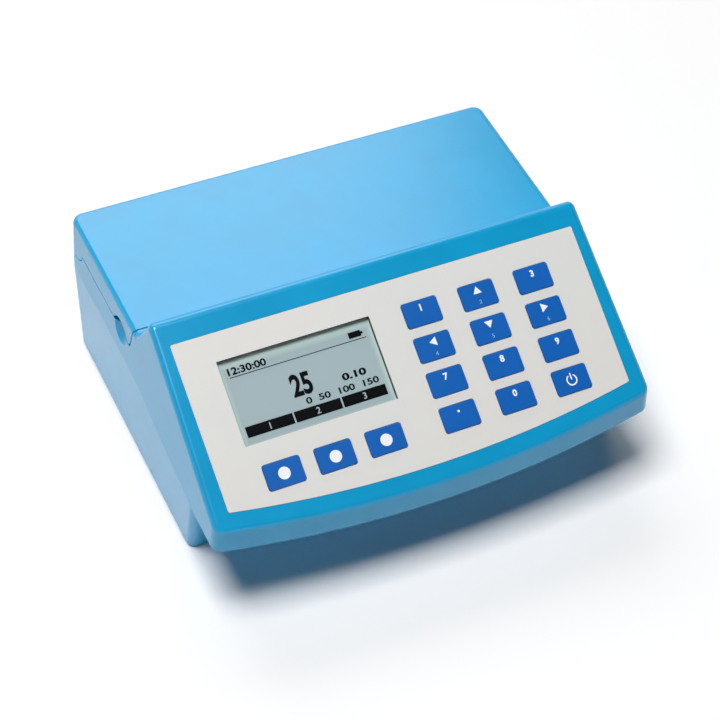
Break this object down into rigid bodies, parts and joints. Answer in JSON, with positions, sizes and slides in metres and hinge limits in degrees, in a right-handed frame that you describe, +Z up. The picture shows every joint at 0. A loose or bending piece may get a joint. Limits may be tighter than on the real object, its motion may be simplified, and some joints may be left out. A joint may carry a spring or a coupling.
{
  "type": "nutrient photometer",
  "caption": "Benchtop photometer with a sloped keypad panel and display in front of a hinged lid over its cuvette well.",
  "frame": {"origin": "middle of the case's footprint, on the surface it stands on", "axes": "+X to the user's right, +Y to the rear, +Z up; the sloped panel faces -Y and up"},
  "size_m": [0.2058, 0.1798, 0.0958],
  "materials": {
    "case_blue": "satin moulded",
    "lid_blue": "satin moulded",
    "steel": "zinc plated",
    "overlay_grey": "fine matt sheet",
    "gasket_black": "matt",
    "lcd_glass": "grey-green display glass",
    "backlight_white": "diffuse",
    "board_green": "solder mask",
    "contact_steel": "pressed sheet",
    "optics_black": "matt black",
    "clear_glass": "polished",
    "filter_glass": "coated",
    "emitter_resin": "clear resin",
    "detector_metal": "metal can",
    "chip_black": "moulded package",
    "port_steel": "plated shell",
    "jack_black": "moulded",
    "battery_wrap": "shrink wrap",
    "foot_rubber": "matt",
    "key_blue": "satin moulded"
  },
  "bodies": {
    "case": {"band_filters": "filter_glass", "battery_pack": "battery_wrap", "beam_splitter": "clear_glass", "board_screws": "steel", "case_screws": "steel", "cuvette_collar": "optics_black", "detector_board": "board_green", "display_backlight": "backlight_white", "display_board": "board_green", "display_gasket": "gasket_black", "display_glass": "lcd_glass", "display_screws": "steel", "emitter_board": "board_green", "filter_holder": "optics_black", "focusing_lens": "clear_glass", "key_board": "board_green", "key_board_screws": "steel", "key_contacts": "contact_steel", "light_emitters": "emitter_resin", "lower_case": "case_blue", "main_board": "board_green", "main_board_chips": "chip_black", "measuring_detector": "detector_metal", "micro_usb_port": "port_steel", "optical_block": "optics_black", "optics_screws": "steel", "panel_overlay": "overlay_grey", "port_board": "board_green", "port_panel": "case_blue", "probe_jack": "jack_black", "reference_detector": "detector_metal", "rubber_feet": "foot_rubber", "upper_case": "case_blue", "usb_a_port": "port_steel"},
    "lid": {"lid": "lid_blue", "hinge_pins": "steel"},
    "key_0": {"key_0": "key_blue"},
    "key_1": {"key_1": "key_blue"},
    "key_3": {"key_3": "key_blue"},
    "key_7": {"key_7": "key_blue"},
    "key_8": {"key_8": "key_blue"},
    "key_9": {"key_9": "key_blue"},
    "key_down": {"key_down": "key_blue"},
    "key_left": {"key_left": "key_blue"},
    "key_point": {"key_point": "key_blue"},
    "key_power": {"key_power": "key_blue"},
    "key_right": {"key_right": "key_blue"},
    "key_up": {"key_up": "key_blue"},
    "soft_key_left": {"soft_key_left": "key_blue"},
    "soft_key_middle": {"soft_key_middle": "key_blue"},
    "soft_key_right": {"soft_key_right": "key_blue"}
  },
  "joints": [
    {"name": "lid_hinge", "type": "hinge", "parent": "case", "child": "lid", "pos_m": [0, 0.0824, 0.067], "axis": [-1, 0, 0], "range_deg": [0, 95]},
    {"name": "key_0_press", "type": "slide", "parent": "case", "child": "key_0", "axis": [0, 0.5255, -0.8508], "range_m": [0, 0.0004], "stiffness_N_per_m": 1500, "springref_m": -0.0004},
    {"name": "key_1_press", "type": "slide", "parent": "case", "child": "key_1", "axis": [0, 0.5255, -0.8508], "range_m": [0, 0.0004], "stiffness_N_per_m": 1500, "springref_m": -0.0004},
    {"name": "key_3_press", "type": "slide", "parent": "case", "child": "key_3", "axis": [0, 0.5255, -0.8508], "range_m": [0, 0.0004], "stiffness_N_per_m": 1500, "springref_m": -0.0004},
    {"name": "key_7_press", "type": "slide", "parent": "case", "child": "key_7", "axis": [0, 0.5255, -0.8508], "range_m": [0, 0.0004], "stiffness_N_per_m": 1500, "springref_m": -0.0004},
    {"name": "key_8_press", "type": "slide", "parent": "case", "child": "key_8", "axis": [0, 0.5255, -0.8508], "range_m": [0, 0.0004], "stiffness_N_per_m": 1500, "springref_m": -0.0004},
    {"name": "key_9_press", "type": "slide", "parent": "case", "child": "key_9", "axis": [0, 0.5255, -0.8508], "range_m": [0, 0.0004], "stiffness_N_per_m": 1500, "springref_m": -0.0004},
    {"name": "key_down_press", "type": "slide", "parent": "case", "child": "key_down", "axis": [0, 0.5255, -0.8508], "range_m": [0, 0.0004], "stiffness_N_per_m": 1500, "springref_m": -0.0004},
    {"name": "key_left_press", "type": "slide", "parent": "case", "child": "key_left", "axis": [0, 0.5255, -0.8508], "range_m": [0, 0.0004], "stiffness_N_per_m": 1500, "springref_m": -0.0004},
    {"name": "key_point_press", "type": "slide", "parent": "case", "child": "key_point", "axis": [0, 0.5255, -0.8508], "range_m": [0, 0.0004], "stiffness_N_per_m": 1500, "springref_m": -0.0004},
    {"name": "key_power_press", "type": "slide", "parent": "case", "child": "key_power", "axis": [0, 0.5255, -0.8508], "range_m": [0, 0.0004], "stiffness_N_per_m": 1500, "springref_m": -0.0004},
    {"name": "key_right_press", "type": "slide", "parent": "case", "child": "key_right", "axis": [0, 0.5255, -0.8508], "range_m": [0, 0.0004], "stiffness_N_per_m": 1500, "springref_m": -0.0004},
    {"name": "key_up_press", "type": "slide", "parent": "case", "child": "key_up", "axis": [0, 0.5255, -0.8508], "range_m": [0, 0.0004], "stiffness_N_per_m": 1500, "springref_m": -0.0004},
    {"name": "soft_key_left_press", "type": "slide", "parent": "case", "child": "soft_key_left", "axis": [0, 0.5255, -0.8508], "range_m": [0, 0.0004], "stiffness_N_per_m": 1500, "springref_m": -0.0004},
    {"name": "soft_key_middle_press", "type": "slide", "parent": "case", "child": "soft_key_middle", "axis": [0, 0.5255, -0.8508], "range_m": [0, 0.0004], "stiffness_N_per_m": 1500, "springref_m": -0.0004},
    {"name": "soft_key_right_press", "type": "slide", "parent": "case", "child": "soft_key_right", "axis": [0, 0.5255, -0.8508], "range_m": [0, 0.0004], "stiffness_N_per_m": 1500, "springref_m": -0.0004}
  ]
}
